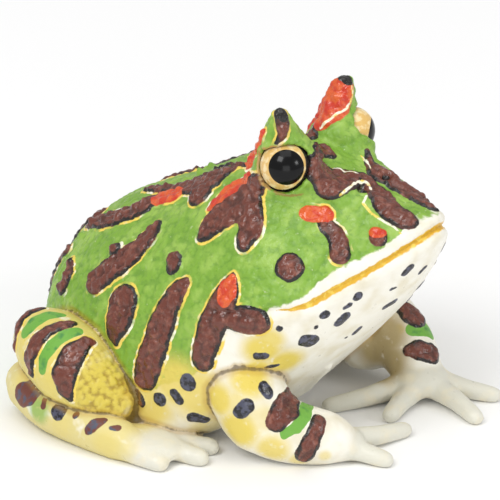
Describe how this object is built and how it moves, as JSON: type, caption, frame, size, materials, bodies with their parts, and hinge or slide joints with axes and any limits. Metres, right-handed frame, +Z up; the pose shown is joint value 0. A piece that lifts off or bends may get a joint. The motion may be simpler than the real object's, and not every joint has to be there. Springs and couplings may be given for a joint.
{
  "type": "toy horned frog figurine",
  "caption": "Squat toy frog with a wide wedge-shaped head, a pointed horn over each eye, splayed hands and folded hind legs.",
  "frame": {"origin": "middle of the figure's outer box, at the level it stands on", "axes": "+X towards the snout, +Y to the frog's left, +Z up"},
  "size_m": [0.0802, 0.0738, 0.0611],
  "materials": {
    "green_skin": "satin paint on moulded plastic, green with raised brown, red-touched bars edged in black and yellow",
    "cream_skin": "satin cream-white paint with grey-black spots",
    "yellow_skin": "satin yellow paint with brown and green bands",
    "horn_paint": "satin green and orange-red paint with a black tip",
    "eye_gloss": "glossy lacquer over a black pupil in a gold iris"
  },
  "bodies": {
    "root": {"torso": "green_skin", "head": "green_skin", "lower_jaw": "cream_skin", "eye_right": "eye_gloss", "horn_right": "horn_paint", "upper_arm_right": "yellow_skin", "forearm_right": "yellow_skin", "hand_right": "cream_skin", "thigh_right": "yellow_skin", "shank_right": "yellow_skin", "foot_right": "cream_skin", "eye_left": "eye_gloss", "horn_left": "horn_paint", "upper_arm_left": "yellow_skin", "forearm_left": "yellow_skin", "hand_left": "cream_skin", "thigh_left": "yellow_skin", "shank_left": "yellow_skin", "foot_left": "cream_skin"}
  },
  "joints": []
}
